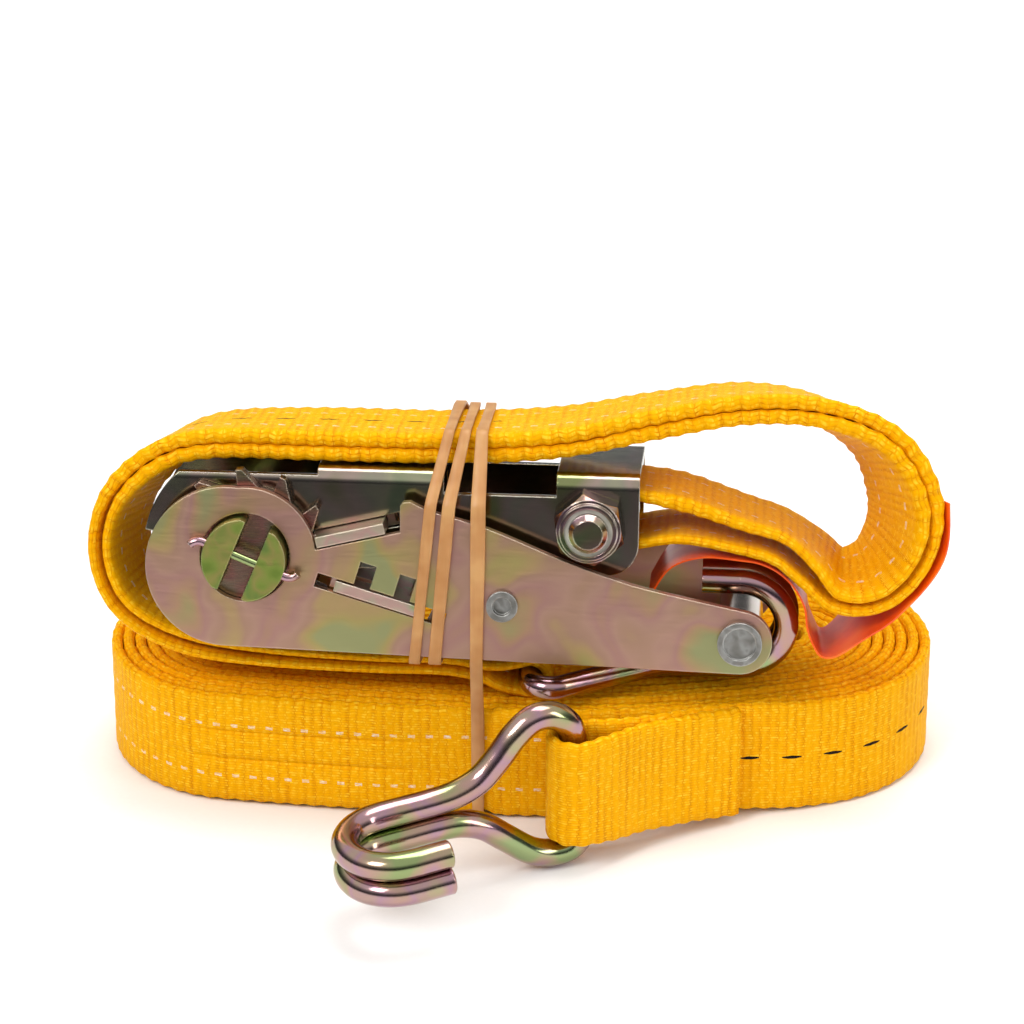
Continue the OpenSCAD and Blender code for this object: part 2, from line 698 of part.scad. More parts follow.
// each corner becomes a short arc of three points
function rounded(p) = flat([
  for (i = [0 : len(p) - 1])
    let (
      a = p[(i + len(p) - 1) % len(p)],
      b = p[i],
      c = p[(i + 1) % len(p)],
      k = min(1, norm(a - b) * 0.35, norm(c - b) * 0.35),
      f = b + unit(a - b) * k,
      g = b + unit(c - b) * k
    )
    [f, (f + 2 * b + g) / 4, g]
]);
band_line = rounded(band_stops);
function band_ring(i) =
  let (
    n = len(band_line),
    t = unit(band_line[(i + 1) % n] - band_line[(i + n - 1) % n]),
    b = unit([1, 0, 0] - t[0] * t),
    o = cross(t, b),
    q = band_line[i]
  )
  [for (k = [[-1, -1], [1, -1], [1, 1], [-1, 1]]) q + b * k[0] * band_w / 2 + o * k[1] * band_t / 2];
module rubber_band() {
  color("#c9934f") translate([0, -mid_y, 0]) ribbon([for (i = [0 : len(band_line) - 1]) band_ring(i)], true);
}

// Tag: a bare strip that lies outside the strap loop, folds up past the hook and over its tips
hook_u = rear_bar_u + hook_l;
hook_w = (rear_bar_z + hook_bend - spool_z) / cos(tilt);
tag_r = hook_bend + wire_r + 1.75;
tag_line = curve(concat(
  [
    [handle_l + 36.8, 12.8, 25], [handle_l + 36.4, 2.1, 24], [handle_l + 29.8, -8.6, 17],
    [handle_l + 24.2, -14.6, 9], [handle_l + 19.4, -19, 4], [handle_l + 16.6, -19.8, 0],
    [handle_l + 15.1, -17.8, 0]
  ],
  [for (a = [0 : 18 : 90]) [hook_u + tag_r * cos(a), hook_w + tag_r * sin(a), 0]],
  [[hook_u - 8, 0.2, 0], [hook_u - 14.5, -2.4, 0], [hook_u - 18.6, -9, 0]]
), 2);
function tag_ring(i) =
  let (
    d = heading([for (k = tag_line) [k[0], k[1]]], i),
    q = tag_line[i],
    turn = q[2],
    across = [d[1] * sin(turn), cos(turn), -d[0] * sin(turn)],
    out = [-d[1] * cos(turn), sin(turn), d[0] * cos(turn)]
  )
  [
    for (k = [[-1, -1], [1, -1], [1, 1], [-1, 1]])
      lift([q[0], 0, q[1]] + across * k[0] * tag_w / 2 + out * k[1] * tag_t / 2)
  ];
module strap_tag() {
  color("#f25a00") translate([0, -mid_y, 0]) ribbon([for (i = [0 : len(tag_line) - 1]) tag_ring(i)], false);
}

// Least gap of the roll to itself, on its centre line
roll_gap = min([for (i = [0 : 6 : len(roll_line) - 1])
  min([for (k = [0 : len(roll_line) - 2]) if (abs(k - i) > 14) norm([roll_line[i][0] - roll_line[k][0],
    roll_line[i][1] - roll_line[k][1]])])]) - web_t;
echo(least_roll_gap = roll_gap);
echo(long_strap_length = norm_sum(roll_line));
echo(short_strap_length = 2 * norm_sum(short_line));
function norm_sum(p) =
  let (d = [for (i = [1 : len(p) - 1]) norm([p[i][0] - p[i - 1][0], p[i][1] - p[i - 1][1]])])
  d * [for (k = d) 1];

frame_channel();
handle_plate_front();
handle_plate_rear();
ratchet_wheel_front();
ratchet_wheel_rear();
spool_half_left();
spool_half_right();
spool_clip_front();
spool_clip_rear();
drive_pawl();
drive_spring();
lock_pawl();
lock_spring();
spring_bridge();
spacer_sleeve();
spacer_rivet();
grip_tube();
grip_rivet();
anchor_bolt();
anchor_nut();
nut_insert();
anchor_sleeve();
short_strap();
short_strap_hook();
long_strap();
long_strap_hook();
rubber_band();
strap_tag();
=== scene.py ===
import math
import bmesh
import bpy
import numpy as np
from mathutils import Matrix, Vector


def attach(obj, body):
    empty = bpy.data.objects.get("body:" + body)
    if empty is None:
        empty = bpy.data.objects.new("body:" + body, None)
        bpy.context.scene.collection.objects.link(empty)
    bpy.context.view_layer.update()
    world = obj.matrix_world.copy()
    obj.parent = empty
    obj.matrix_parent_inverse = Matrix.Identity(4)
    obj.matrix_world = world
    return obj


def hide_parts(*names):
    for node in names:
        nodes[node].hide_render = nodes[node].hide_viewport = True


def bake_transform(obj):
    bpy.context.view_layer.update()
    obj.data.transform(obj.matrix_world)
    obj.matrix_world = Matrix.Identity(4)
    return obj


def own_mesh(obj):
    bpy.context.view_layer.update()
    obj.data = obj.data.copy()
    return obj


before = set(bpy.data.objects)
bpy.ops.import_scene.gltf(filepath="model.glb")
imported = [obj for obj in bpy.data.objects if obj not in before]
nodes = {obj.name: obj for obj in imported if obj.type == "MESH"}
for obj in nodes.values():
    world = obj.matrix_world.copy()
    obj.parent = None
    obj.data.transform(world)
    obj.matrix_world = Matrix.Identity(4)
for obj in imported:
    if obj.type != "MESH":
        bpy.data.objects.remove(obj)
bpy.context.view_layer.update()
print("frame loaded:", len(nodes), "nodes")

mm = 0.001
rowShift = 21.6086  # roll centre to row frame along Y, in mm


def hexLinear(text):
    channels = [int(text[i:i + 2], 16) / 255 for i in (1, 3, 5)]
    return [c / 12.92 if c <= 0.04045 else ((c + 0.055) / 1.055) ** 2.4 for c in channels] + [1.0]


def setInputs(node, values):
    for key, value in values.items():
        node.inputs[key].default_value = value


def addNode(tree, kind, settings=None, links=None, **fields):
    node = tree.nodes.new(kind)
    for key, value in fields.items():
        setattr(node, key, value)
    setInputs(node, settings or {})
    for key, source in (links or {}).items():
        tree.links.new(source, node.inputs[key])
    return node


def addMath(tree, operation, *terms):
    # a term is a number or the output of another node
    node = addNode(tree, "ShaderNodeMath", operation=operation)
    for slot, term in enumerate(terms):
        if isinstance(term, (int, float)):
            node.inputs[slot].default_value = term
        else:
            tree.links.new(term, node.inputs[slot])
    return node.outputs[0]


def mixTones(tree, share, base, over):
    # a tone is a hex colour or the output of another node
    node = addNode(tree, "ShaderNodeMix", links={0: share}, data_type="RGBA")
    for slot, tone in ((6, base), (7, over)):
        if isinstance(tone, str):
            node.inputs[slot].default_value = hexLinear(tone)
        else:
            tree.links.new(tone, node.inputs[slot])
    return node.outputs[2]


def addRamp(tree, source, stops):
    ramp = addNode(tree, "ShaderNodeValToRGB", links={0: source})
    marks = ramp.color_ramp.elements
    marks[0].position, marks[1].position = stops[0][0], stops[-1][0]
    marks[0].color, marks[1].color = hexLinear(stops[0][1]), hexLinear(stops[-1][1])
    for position, tone in stops[1:-1]:
        marks.new(position).color = hexLinear(tone)
    return ramp.outputs[0]


def addNoise(tree, place, scale, detail, **more):
    noise = addNode(tree, "ShaderNodeTexNoise", {"Scale": scale, "Detail": detail, **more}, {"Vector": place})
    return noise.outputs["Fac"]


def remap(tree, source, low, high, toLow=0.0, toHigh=1.0):
    spans = {"From Min": low, "From Max": high, "To Min": toLow, "To Max": toHigh}
    return addNode(tree, "ShaderNodeMapRange", spans, {"Value": source}).outputs[0]


def stretched(tree, place, scale):
    return addNode(tree, "ShaderNodeMapping", {"Scale": scale}, {"Vector": place}).outputs[0]


def addBump(tree, shader, height, strength, distance, **links):
    bump = addNode(tree, "ShaderNodeBump", {"Strength": strength, "Distance": distance}, {"Height": height, **links})
    tree.links.new(bump.outputs[0], shader.inputs["Normal"])


def objectPlace(tree):
    return addNode(tree, "ShaderNodeTexCoord").outputs["Object"]


def newMaterial(name):
    material = bpy.data.materials.new(name)
    material.use_nodes = True
    tree = material.node_tree
    tree.nodes.clear()
    shader = addNode(tree, "ShaderNodeBsdfPrincipled")
    addNode(tree, "ShaderNodeOutputMaterial", links={"Surface": shader.outputs[0]})
    return material, tree, shader


# camera and light, matched to a product shot on white
view = {"azimuth": 4.0, "elevation": 28.0, "distance": 0.80, "lens": 139.5, "sensor": 36,
        "middle": (0.0012, -0.01456, 0.0392), "lookUp": 0.0315}  # the object sits low in the picture
cameraData = bpy.data.cameras.new("studioCamera")
camera = bpy.data.objects.new("studioCamera", cameraData)
bpy.context.scene.collection.objects.link(camera)
cameraData.lens = view["lens"]
cameraData.sensor_width = view["sensor"]
cameraData.clip_start, cameraData.clip_end = 0.01, 20
turn, rise = math.radians(view["azimuth"]), math.radians(view["elevation"])
back = Vector((math.sin(turn) * math.cos(rise), -math.cos(turn) * math.cos(rise), math.sin(rise)))
camera.location = Vector(view["middle"]) + back * view["distance"]
upward = Vector((0, 0, 1)) - back * back.z
sight = view["lookUp"] * upward.normalized() - back * view["distance"]
camera.rotation_euler = sight.to_track_quat("-Z", "Y").to_euler()
bpy.context.scene.camera = camera
bpy.context.scene.view_settings.view_transform = "Standard"

studio = {
    "sky": [(0.0, "#55565A"), (0.16, "#3C3D42"), (0.34, "#8C8E92"), (0.55, "#FFFFFF"), (1.0, "#FFFFFF")],
    "skyPower": 0.95,
    "lamps": [  # name, place, aim, size, power
        ("keyBox", (-0.75, -0.95, 1.15), (0, 0, 0.03), (0.55, 0.55), 11.0),
        ("topBox", (0.15, 0.25, 1.35), (0, 0, 0.03), (0.9, 0.5), 8.0),
        ("rightBox", (1.15, -0.55, 0.55), (0, 0, 0.03), (0.25, 0.8), 4.0),
    ],
    "floorHalf": 6.0, "floorZ": -0.0002,
}
world = bpy.data.worlds.new("studioWorld")
bpy.context.scene.world = world
world.use_nodes = True
sky = world.node_tree
skyPlace = addNode(sky, "ShaderNodeTexCoord").outputs["Generated"]
skyAxes = addNode(sky, "ShaderNodeSeparateXYZ", links={0: skyPlace})
worldShader = sky.nodes["Background"]
sky.links.new(addRamp(sky, skyAxes.outputs[2], studio["sky"]), worldShader.inputs["Color"])
setInputs(worldShader, {"Strength": studio["skyPower"]})
for name, place, aim, size, power in studio["lamps"]:
    lampData = bpy.data.lights.new(name, "AREA")
    lampData.shape = "RECTANGLE"
    lampData.size, lampData.size_y = size
    lampData.energy = power
    lamp = bpy.data.objects.new(name, lampData)
    lamp.location = place
    lamp.rotation_euler = (Vector(aim) - Vector(place)).to_track_quat("-Z", "Y").to_euler()
    bpy.context.scene.collection.objects.link(lamp)

# floor: matt white paper
floorPaper, tree, shader = newMaterial("matt_white_paper")
place = objectPlace(tree)
paperTone = mixTones(tree, addNoise(tree, place, 900.0, 3.0), "#F6F6F5", "#FBFBFA")
# painted shade: the floor in front of the paper is painted dark grey, standing in for the dark room, so that bright
# metal has something dark to mirror
floorAxes = addNode(tree, "ShaderNodeSeparateXYZ", links={0: place})
front = remap(tree, floorAxes.outputs[1], -0.24, -0.6)
tree.links.new(mixTones(tree, front, paperTone, "#4C4B4E"), shader.inputs["Base Color"])
setInputs(shader, {"Roughness": 0.9})
floorMesh = bpy.data.meshes.new("floor")
corners = [(x * studio["floorHalf"], y * studio["floorHalf"], studio["floorZ"])
           for x, y in ((-1, -1), (1, -1), (1, 1), (-1, 1))]
floorMesh.from_pydata(corners, [], [(0, 1, 2, 3)])
floor = bpy.data.objects.new("floor", floorMesh)
floor.data.materials.append(floorPaper)
bpy.context.scene.collection.objects.link(floor)
print("camera, lamps and floor ready")


# paths shared by the straps, the band and the tag, all in mm
def smoothCurve(stops, steps):
    stops = np.array(stops, float)
    line = []
    for i in range(len(stops) - 1):
        a, b = stops[max(i - 1, 0)], stops[i]
        c, d = stops[i + 1], stops[min(i + 2, len(stops) - 1)]
        for k in range(steps + (1 if i == len(stops) - 2 else 0)):
            t = k / steps
            line.append(0.5 * (2 * b + (c - a) * t + (2 * a - 5 * b + 4 * c - d) * t ** 2
                               + (3 * b - a - 3 * c + d) * t ** 3))
    return np.array(line)


def unit(rows):
    rows = np.asarray(rows, float)
    return rows / np.linalg.norm(rows, axis=-1, keepdims=True)


def headings(points, closed=False):
    if closed:
        return unit(np.roll(points, -1, 0) - np.roll(points, 1, 0))
    return unit(np.gradient(points, axis=0))


def runLength(points):
    return np.concatenate([[0], np.cumsum(np.linalg.norm(np.diff(points, axis=0), axis=1))])


def resample(points, lengths, wanted):
    return np.stack([np.interp(wanted, lengths, points[:, k]) for k in range(points.shape[1])], 1)


# where the spool axis lies in the roll's own frame
ratchet = {"x": -53.5, "y": -7.0, "z": 53.7, "tilt": 12.0}


def liftPoints(points):
    lean = math.radians(ratchet["tilt"])
    u, v, w = points[..., 0], points[..., 1], points[..., 2]
    return np.stack([ratchet["x"] + u,
                     ratchet["y"] + rowShift + v * math.cos(lean) + w * math.sin(lean),
                     ratchet["z"] - v * math.sin(lean) + w * math.cos(lean)], -1)


def liftVectors(vectors):
    return liftPoints(vectors) - liftPoints(np.zeros_like(vectors))


def addPiece(name, verts, faces, material):
    mesh = bpy.data.meshes.new(name)
    mesh.from_pydata((np.asarray(verts) * mm).tolist(), [], [list(map(int, f)) for f in faces])
    mesh.materials.append(material)
    mesh.shade_smooth()
    piece = bpy.data.objects.new(name, mesh)
    bpy.context.scene.collection.objects.link(piece)
    return piece


# polyester webbing, woven and heat set: silky, ribbed lengthwise, rippled crosswise, with tracer yarns
half = 12.5  # half the width of the webbing, mm
backSide = 100.0  # the back face has its own v, higher by this
# painted shade and highlight: shadow and deep are painted into the valleys of the weave and light onto the yarn tops
# (light also tints the uneven wefts); tick is a painted highlight on the floats
webbing = {
    "light": "#F4AE00", "deep": "#E49400", "shadow": "#CA7400", "tick": "#FFD034",
    "blackYarn": "#1E1A16", "whiteYarn": "#F4EBD8",
    "yarnRow": 0.6, "float": 1.85, "ripple": 1.85,  # mm
    "dashPitch": 9.0, "dashShare": 0.46, "dashHalf": 0.34,  # black tracer, mm
    "whiteAt": 6.0, "whitePitch": 3.7, "whiteShare": 0.40, "whiteHalf": 0.36,  # white tracers, mm
    "thick": 2.15, "selvedgePitch": 3.7, "selvedge": 0.16, "relief": 0.05,  # mm
}
webbingPolyester, tree, shader = newMaterial("woven_polyester_webbing")
uvMap = addNode(tree, "ShaderNodeUVMap", uv_map="cloth")
split = addNode(tree, "ShaderNodeSeparateXYZ", links={0: uvMap.outputs[0]})
along, across = split.outputs[0], split.outputs[1]
isBack = addMath(tree, "GREATER_THAN", across, backSide / 2)
side = addMath(tree, "ADD", across, addMath(tree, "MULTIPLY", isBack, -backSide))
cloth = addNode(tree, "ShaderNodeCombineXYZ", links={0: along, 1: side}).outputs[0]
# the yarns wander from straight rows
drift = addNode(tree, "ShaderNodeTexNoise", {"Scale": 0.22, "Detail": 3.0}, {"Vector": cloth})
driftBy = addNode(tree, "ShaderNodeVectorMath", {1: (2.2, 0.7, 0.0)}, {0: drift.outputs["Color"]},
                  operation="MULTIPLY")
bent = addNode(tree, "ShaderNodeVectorMath", links={0: cloth, 1: driftBy.outputs[0]}, operation="ADD").outputs[0]
rowHeight = 0.25  # of a brick row, in texture units
rowScale = rowHeight / webbing["yarnRow"]
yarn = addNode(tree, "ShaderNodeTexBrick",
               {"Scale": rowScale, "Mortar Size": 0.06, "Mortar Smooth": 1.0, "Bias": 0.0,
                "Brick Width": webbing["float"] * rowScale, "Row Height": rowHeight},
               {"Vector": bent}, offset=0.12, offset_frequency=2)
pillow = addMath(tree, "SUBTRACT", 1.0, yarn.outputs["Fac"])
wander = addMath(tree, "MULTIPLY", addNoise(tree, cloth, 0.16, 2.0), 3.0)
phase = addMath(tree, "MULTIPLY_ADD", along, 2 * math.pi / webbing["ripple"], wander)
ripple = addMath(tree, "MULTIPLY_ADD", addMath(tree, "SINE", phase), 0.5, 0.5)
filament = addNoise(tree, stretched(tree, cloth, (0.35, 3.2, 1.0)), 2.4, 3.0, Roughness=0.6)
yarnHeight = addMath(tree, "MULTIPLY_ADD", pillow, 0.9, filament)
clothHeight = addMath(tree, "MULTIPLY_ADD", ripple, 0.9, yarnHeight)
addBump(tree, shader, clothHeight, 0.42, 0.0002)
# painted shade and highlight: the valleys between the yarn rows are painted darker and the yarn tops lighter, and the
# wefts are beaten up unevenly
weaveShadeTone = addRamp(tree, addMath(tree, "MULTIPLY", clothHeight, 0.42),
                    [(0.12, webbing["shadow"]), (0.42, webbing["deep"]), (0.86, webbing["light"])])
beatUp = addNoise(tree, stretched(tree, cloth, (0.42, 0.04, 1.0)), 1.0, 2.0)
clothTone = mixTones(tree, remap(tree, beatUp, 0.35, 0.65, 0.0, 0.8), weaveShadeTone, webbing["light"])
# painted highlight: the floats on top of the weave are painted as short pale ticks where they would catch the light,
# more in some places than in others
glintSpots = remap(tree, addNoise(tree, bent, 0.9, 2.0), 0.48, 0.66, 0.0, 0.75)
glintMask = addMath(tree, "MULTIPLY", glintSpots, remap(tree, pillow, 0.72, 1.0))
glintTone = mixTones(tree, glintMask, clothTone, webbing["tick"])
# tracer yarns: black dashes with tapered ends on the centre line, white ones on both sides of it
offCentre = addMath(tree, "ABSOLUTE", side)
dashAt = addMath(tree, "MULTIPLY", along, 1 / webbing["dashPitch"])
dashPart = addMath(tree, "FRACT", dashAt)
dashOn = addMath(tree, "LESS_THAN", dashPart, webbing["dashShare"])
dashArc = addMath(tree, "SINE", addMath(tree, "MULTIPLY", dashPart, math.pi / webbing["dashShare"]))
dashWide = addMath(tree, "MULTIPLY_ADD", dashArc, webbing["dashHalf"] * 0.75, webbing["dashHalf"] * 0.35)
onCentre = addMath(tree, "LESS_THAN", offCentre, dashWide)
blackHere = addNode(tree, "ShaderNodeAttribute", attribute_name="blackTracer").outputs["Fac"]
blackMask = addMath(tree, "MULTIPLY", addMath(tree, "MULTIPLY", dashOn, onCentre), blackHere)
blackTone = mixTones(tree, blackMask, glintTone, webbing["blackYarn"])
whiteAt = addMath(tree, "MULTIPLY", dashAt, webbing["dashPitch"] / webbing["whitePitch"])
whiteOn = addMath(tree, "LESS_THAN", addMath(tree, "FRACT", whiteAt), webbing["whiteShare"])
onLine = addMath(tree, "COMPARE", offCentre, webbing["whiteAt"], webbing["whiteHalf"])
whiteHere = addNode(tree, "ShaderNodeAttribute", attribute_name="whiteTracer").outputs["Fac"]
whiteMask = addMath(tree, "MULTIPLY", addMath(tree, "MULTIPLY", whiteOn, onLine), whiteHere)
frayed = addMath(tree, "MULTIPLY", whiteMask, remap(tree, filament, 0.42, 0.62))
tree.links.new(mixTones(tree, frayed, blackTone, webbing["whiteYarn"]), shader.inputs["Base Color"])
setInputs(shader, {"Roughness": 0.52, "Specular IOR Level": 0.04, "Subsurface Weight": 0.12,
                   "Subsurface Radius": (0.0012, 0.0006, 0.0002)})
print("webbing material ready")

# cross-section of the webbing: across (-1 to 1) and through (-1 to 1), with a rounded selvedge
foldAt = (0.36, -0.16)  # where the rumpled turn is creased, as a share of the half width
foldRows = [at + step for at in foldAt for step in (-0.07, -0.035, 0.0, 0.035, 0.07)]
evenRows = [a for a in np.linspace(-0.955, 0.955, 11) if min(abs(a - f) for f in foldAt) > 0.09]
faceRow = np.array(sorted(evenRows + foldRows))
faceCount = len(faceRow)
profile = np.array([(a, 1.0) for a in faceRow] + [(1.0, 0.5), (1.018, 0.0), (1.0, -0.5)]
                   + [(a, -1.0) for a in faceRow[::-1]] + [(-1.0, -0.5), (-1.018, 0.0), (-1.0, 0.5)])
selvedgeStep = 0.43  # mm from point to point round the selvedge


def profileSpan(j):
    # v at both ends of step j round the profile: front, one selvedge, back, other selvedge
    here, there = profile[j, 0] * half, profile[(j + 1) % len(profile), 0] * half
    if j < faceCount - 1:
        return here, there
    if j < faceCount + 3:
        step = j - faceCount + 1
        return half + step * selvedgeStep, half + (step + 1) * selvedgeStep
    if j < 2 * faceCount + 2:
        return backSide + here, backSide + there
    step = j - 2 * faceCount - 6
    return -half + step * selvedgeStep, -half + (step + 1) * selvedgeStep


def faceOutward(piece):
    bm = bmesh.new()
    bm.from_mesh(piece.data)
    bmesh.ops.recalc_face_normals(bm, faces=bm.faces)
    bm.to_mesh(piece.data)
    bm.free()


def weaveStrap(name, centre, acrossDir, outward, halfWidth, start, closed, black, white, thick, scallop,
               crease=None):
    # centre, acrossDir and outward are rows per ring in mm; start is the length at each ring
    count, ringSize = len(centre), len(profile)
    ripple = np.sin(2 * np.pi * start / webbing["ripple"])[:, None]
    a, b = profile[:, 0][None, :], profile[:, 1][None, :]
    edge = np.clip((np.abs(a) - 0.9) / 0.1, 0, 1)  # 0 on the faces, 1 on the selvedges
    sideSign = np.sign(a)
    # the scallops of the two selvedges are out of step
    wave = (2 * np.pi * start / webbing["selvedgePitch"])[:, None] + np.where(sideSign > 0, 0.0, 2.1)
    widthOut = a * halfWidth[:, None] + sideSign * edge * scallop[:, None] * np.sin(wave)
    ribs = webbing["relief"] * np.cos(a * np.pi * 5)
    through = b * (thick[:, None] / 2 + webbing["relief"] * ripple * (1 - edge) + ribs * (1 - edge))
    through = through + edge * 0.8 * scallop[:, None] * np.cos(wave)
    if crease is not None:  # lengthwise creases
        folds = 1 - sum(np.exp(-((a - at) / 0.04) ** 2) for at in foldAt)
        through = through + crease[:, None] * folds * (1 - edge)
    points = (centre[:, None, :] + acrossDir[:, None, :] * widthOut[..., None]
              + outward[:, None, :] * through[..., None])
    ring = np.arange(count if closed else count - 1)
    nextRing = (ring + 1) % count
    seam = start[-1] + np.linalg.norm(centre[0] - centre[-1])
    nextStart = np.where(nextRing == 0, seam, start[nextRing])
    faces, uv = [], []
    for j in range(ringSize):
        k = (j + 1) % ringSize
        v0, v1 = (np.full(len(ring), v) for v in profileSpan(j))
        faces.append(np.stack([ring * ringSize + j, nextRing * ringSize + j, nextRing * ringSize + k,
                               ring * ringSize + k], 1))
        corners = ((start[ring], v0), (nextStart, v0), (nextStart, v1), (start[ring], v1))
        uv.append(np.stack([np.stack(corner, 1) for corner in corners], 1))
    faceList, uv = np.concatenate(faces).tolist(), np.concatenate(uv).reshape(-1, 2)
    if not closed:
        faceList.append(list(range(ringSize)))
        faceList.append(list(range((count - 1) * ringSize, count * ringSize))[::-1])
        uv = np.concatenate([uv, np.zeros((2 * ringSize, 2))])
    piece = addPiece(name, points.reshape(-1, 3), faceList, webbingPolyester)
    layer = piece.data.uv_layers.new(name="cloth")
    layer.data.foreach_set("uv", uv.astype(np.float32).ravel())
    for label, values in (("blackTracer", black), ("whiteTracer", white)):
        mark = piece.data.attributes.new(label, "FLOAT", "POINT")
        mark.data.foreach_set("value", np.repeat(values, ringSize).astype(np.float32))
    faceOutward(piece)
    return piece


# long strap: flat oval roll on edge, its outer end sewn round the front hook
roll = {"turns": 11, "pitch": 2.5, "half": 57.5, "radius": 30.25, "bandX": -6.3, "bandRise": 1.3,
        "hookBar": (14.7, -44.75), "hookBarZ": 18.1, "eye": 5.05, "bowRight": 22.0, "bowLeft": 6.0,
        "showing": 1150, "coarse": 1.15, "fine": 0.6,  # the turns that show are sampled more closely
        "hem": 13, "hemFold": 0.35, "blackSpan": (75, 175), "whiteFrom": 200,  # mm from the sewn end
        "rumple": 0.75, "rumpleSpan": (-74, -13), "rumpleFade": 14, "lastTurn": 620}
arcs, arcSteps = 2 * roll["turns"], 32


def arcRadius(k, t):
    return roll["radius"] - roll["pitch"] * (arcs - k - t) / 2


plan = []
for k in range(arcs):
    right = (arcs - 1 - k) % 2 == 0
    for i in range(arcSteps + 1):
        t = i / arcSteps
        r, angle = arcRadius(k, t), math.radians((90 if right else 270) - 180 * t)
        plan.append(((roll["half"] if right else -roll["half"]) + r * math.cos(angle), r * math.sin(angle)))


def bow(points):
    x, y = points[:, 0], points[:, 1]
    side = np.where(x > 0, 1.0, -1.0)
    turn = np.radians(np.where(x > 0, roll["bowRight"], roll["bowLeft"]))
    bend = roll["half"] / turn
    a = np.minimum(np.abs(x) / roll["half"], 1) * turn
    rest = np.maximum(np.abs(x) - roll["half"], 0)
    return np.column_stack([side * (bend * np.sin(a) + rest * np.cos(a) - y * np.sin(a)),
                            bend * (1 - np.cos(a)) + rest * np.sin(a) + y * np.cos(a)])


plan = np.array(plan)
flatLengths = runLength(plan)
plan = bow(resample(plan, flatLengths, np.arange(0, flatLengths[-1], 1.0)))
rollLine = np.column_stack([plan, np.zeros(len(plan)), np.full(len(plan), half)])  # x, y, bottom, half width
hookX, hookY = roll["hookBar"]
radius = roll["radius"]
tailStart = bow(np.array([[roll["half"] * f, -radius - off] for f, off in ((1, 0), (0.86, 0.3), (0.68, 1.4))]))
tailCut = 24  # rows that the sewn end stops short of the roll
tailStops = smoothCurve([  # x, y, bottom, half gap between the plies, half width
    [*tailStart[0], 0, 0, half], [*tailStart[1], 0.5, 0, half], [*tailStart[2], 1.6, 1.3, half],
    [hookX + 22, hookY + 13.4, 2.8, 1.3, half], [hookX + 12.8, hookY + 7.4, 4, 1.5, half],
    [hookX + 6.3, hookY + 3.1, 4.9, 3.2, half - 0.2],
    [hookX, hookY, roll["hookBarZ"] - half, roll["eye"], half - 0.7]], 12)
tailDir = headings(tailStops[:, :2])
rightOf = np.stack([tailDir[:, 1], -tailDir[:, 0]], 1)
inner = tailStops[:, :2] + rightOf * tailStops[:, 3:4]
outer = tailStops[:, :2] - rightOf * tailStops[:, 3:4]
last = tailStops[-1]
eye = []
for degrees in range(-75, 76, 10):
    c, s = math.cos(math.radians(degrees)), math.sin(math.radians(degrees))
    d = tailDir[-1]
    e = np.array([d[0] * c - d[1] * s, d[0] * s + d[1] * c])
    eye.append([*(last[:2] + e * last[3]), last[2], last[4]])
tailIn = np.column_stack([inner, tailStops[:, 2], tailStops[:, 4]])[1:]
tailOut = np.column_stack([outer, tailStops[:, 2], tailStops[:, 4]])[::-1][:-tailCut]
rollLine = np.concatenate([rollLine, tailIn, np.array(eye), tailOut])
lengths = runLength(rollLine[:, :2])
total = lengths[-1]
fineFrom = total - roll["showing"]
wanted = np.concatenate([np.arange(0, fineFrom, roll["coarse"]), np.arange(fineFrom, total, roll["fine"])])
strapLine = resample(rollLine, lengths, wanted)
xy = strapLine[:, :2]
direction = headings(xy)
leftOf = np.stack([-direction[:, 1], direction[:, 0], np.zeros(len(xy))], 1)
onRoll = np.clip((lengths[len(plan) - 1] - wanted) / 40, 0, 1)
# no two turns stand equally high
telescope = 0.28 + 0.14 * np.sin(wanted / 41.0) + 0.13 * np.sin(wanted / 97.0 + 1.3)
bottom = strapLine[:, 2] + telescope * onRoll
# the band presses the edges in
nearBand = np.clip(2.2 - np.abs(xy[:, 0] - roll["bandX"]) / 1.6, 0, 1) * onRoll
halfWide = strapLine[:, 3] - 0.2 - nearBand * roll["bandRise"] / 2
middleZ = bottom + half + nearBand * (roll["bandRise"] - 0.4) / 2
folded = roll["hemFold"] * np.clip((wanted - total + roll["hem"]) / 2, 0, 1)  # the end is turned in and sewn
xy = xy + leftOf[:, :2] * (folded * webbing["thick"] / 2)[:, None]
centre = np.column_stack([xy[:, 0], xy[:, 1] + rowShift, middleZ])
upward = np.tile([0.0, 0.0, 1.0], (len(centre), 1))
fromEnd = total - wanted
black = ((fromEnd > roll["blackSpan"][0]) & (fromEnd < roll["blackSpan"][1])).astype(float)
white = (fromEnd > roll["whiteFrom"]).astype(float)
# the outermost turn is rumpled at the front left
leftEnd, rightEnd = roll["rumpleSpan"]
rumpled = (np.clip((xy[:, 0] - leftEnd) / roll["rumpleFade"], 0, 1)
           * np.clip((rightEnd - xy[:, 0]) / roll["rumpleFade"], 0, 1) * (xy[:, 1] < 0))
rumpled = rumpled * (wanted > total - roll["lastTurn"]) * np.where(leftOf[:, 1] < 0, 1, -1)
longStrap = weaveStrap("long_strap_webbing", centre, upward, leftOf, halfWide, wanted, False, black, white,
                       webbing["thick"] * (1 + folded), np.full(len(wanted), webbing["selvedge"]),
                       rumpled * roll["rumple"])
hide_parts("long_strap")
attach(longStrap, "bundle")
print("long strap woven:", round(total), "mm")

